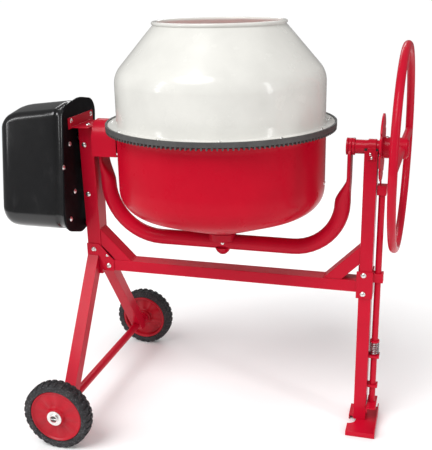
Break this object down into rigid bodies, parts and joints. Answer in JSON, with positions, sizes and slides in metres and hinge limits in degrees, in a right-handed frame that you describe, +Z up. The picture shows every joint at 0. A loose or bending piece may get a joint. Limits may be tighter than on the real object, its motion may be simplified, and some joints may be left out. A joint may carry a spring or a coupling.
{
  "type": "concrete mixer",
  "caption": "Tilting-drum electric concrete mixer on a two-wheeled tubular stand, with ring-gear drive, enclosed side motor and a large tilting handwheel.",
  "frame": {"origin": "middle of the machine's footprint box, on the floor", "axes": "+X from the motor side to the handwheel, +Y from front to back, +Z up"},
  "size_m": [1.167, 0.7472, 1.157],
  "materials": {
    "drum_red": "gloss",
    "frame_red": "satin",
    "drum_white": "gloss",
    "gear_iron": "matt",
    "steel": "satin",
    "zinc": "satin",
    "spring_steel": "satin",
    "pulley_aluminium": "satin",
    "motor_aluminium": "cast",
    "belt_rubber": "matt",
    "seal_rubber": "matt",
    "capacitor_plastic": "matt",
    "bush_plastic": "matt",
    "housing_black": "gloss",
    "housing_plate": "gloss",
    "switch_black": "matt",
    "button_green": "gloss",
    "button_red": "gloss",
    "tyre": "matt"
  },
  "bodies": {
    "frame": {"cross_beam": "frame_red", "beam_braces": "frame_red", "junction_plates": "frame_red", "frame_bolts": "zinc", "drive_column": "frame_red", "operator_column": "frame_red", "trunnion_bushes": "bush_plastic", "trunnion_strap": "frame_red", "column_bracket": "frame_red", "rod_guides": "frame_red", "front_leg": "frame_red", "rear_leg": "frame_red", "axle": "frame_red", "axle_collars": "frame_red", "wheel_retainers": "zinc", "foot_plate": "frame_red", "housing_hanger": "frame_red", "housing_back_plate": "housing_plate", "housing_bolts": "zinc", "housing_cover": "housing_black", "motor_body": "motor_aluminium", "motor_bracket": "zinc", "capacitor": "capacitor_plastic", "switch_box": "switch_black", "drive_belt": "belt_rubber"},
    "cradle": {"yoke": "frame_red", "left_trunnion": "frame_red", "right_trunnion": "frame_red", "clamp_collars": "frame_red", "cradle_bolts": "zinc", "pinion_guard": "frame_red", "drum_hub": "frame_red", "cradle_bearings": "steel", "hub_end_cap": "frame_red", "lock_disc": "frame_red", "handwheel_hub": "frame_red", "handwheel_spokes": "frame_red", "handwheel_rim": "frame_red"},
    "drum": {"lower_drum": "drum_red", "upper_drum": "drum_white", "drum_seal": "seal_rubber", "crown_gear": "gear_iron", "drum_bolts": "zinc", "drum_shaft": "steel", "mixing_blades": "frame_red"},
    "pinion_drive": {"pinion_shaft": "steel", "pinion": "gear_iron", "large_pulley": "pulley_aluminium"},
    "motor_drive": {"motor_rotor": "steel", "motor_pulley": "pulley_aluminium"},
    "front_wheel": {"front_tyre": "tyre", "front_wheel_disc": "frame_red"},
    "rear_wheel": {"rear_tyre": "tyre", "rear_wheel_disc": "frame_red"},
    "tilt_lock": {"latch_head": "frame_red", "lock_rod": "frame_red", "lock_spring": "spring_steel", "pedal_tread": "frame_red"},
    "start": {"start_button": "button_green"},
    "stop": {"stop_button": "button_red"}
  },
  "joints": [
    {"name": "cradle_tilt", "type": "hinge", "parent": "frame", "child": "cradle", "pos_m": [0, 0, 0.828], "axis": [1, 0, 0], "range_deg": [-120, 120]},
    {"name": "drum_spin", "type": "hinge", "parent": "cradle", "child": "drum", "pos_m": [0.0715, 0, 0.6], "axis": [0, 0, 1], "continuous": true},
    {"name": "pinion_spin", "type": "hinge", "parent": "cradle", "child": "pinion_drive", "pos_m": [0, 0, 0.828], "axis": [1, 0, 0], "continuous": true},
    {"name": "motor_spin", "type": "hinge", "parent": "frame", "child": "motor_drive", "pos_m": [0, -0.05, 0.64], "axis": [1, 0, 0], "continuous": true},
    {"name": "front_wheel_spin", "type": "hinge", "parent": "frame", "child": "front_wheel", "pos_m": [-0.3225, -0.342, 0.1], "axis": [0, 1, 0], "continuous": true},
    {"name": "rear_wheel_spin", "type": "hinge", "parent": "frame", "child": "rear_wheel", "pos_m": [-0.3225, 0.342, 0.1], "axis": [0, 1, 0], "continuous": true},
    {"name": "lock_slide", "type": "slide", "parent": "frame", "child": "tilt_lock", "axis": [0, 0, 1], "range_m": [-0.006, 0.01], "stiffness_N_per_m": 1500, "springref_m": 0.006, "deforming": ["lock_spring"]},
    {"name": "start_press", "type": "slide", "parent": "frame", "child": "start", "axis": [0, -1, 0], "range_m": [0, 0.003], "stiffness_N_per_m": 300},
    {"name": "stop_press", "type": "slide", "parent": "frame", "child": "stop", "axis": [0, -1, 0], "range_m": [0, 0.003], "stiffness_N_per_m": 300}
  ],
  "couplings": [
    {"joint": "pinion_spin", "follows": "drum_spin", "ratio": 7},
    {"joint": "motor_spin", "follows": "drum_spin", "ratio": 45.5}
  ]
}
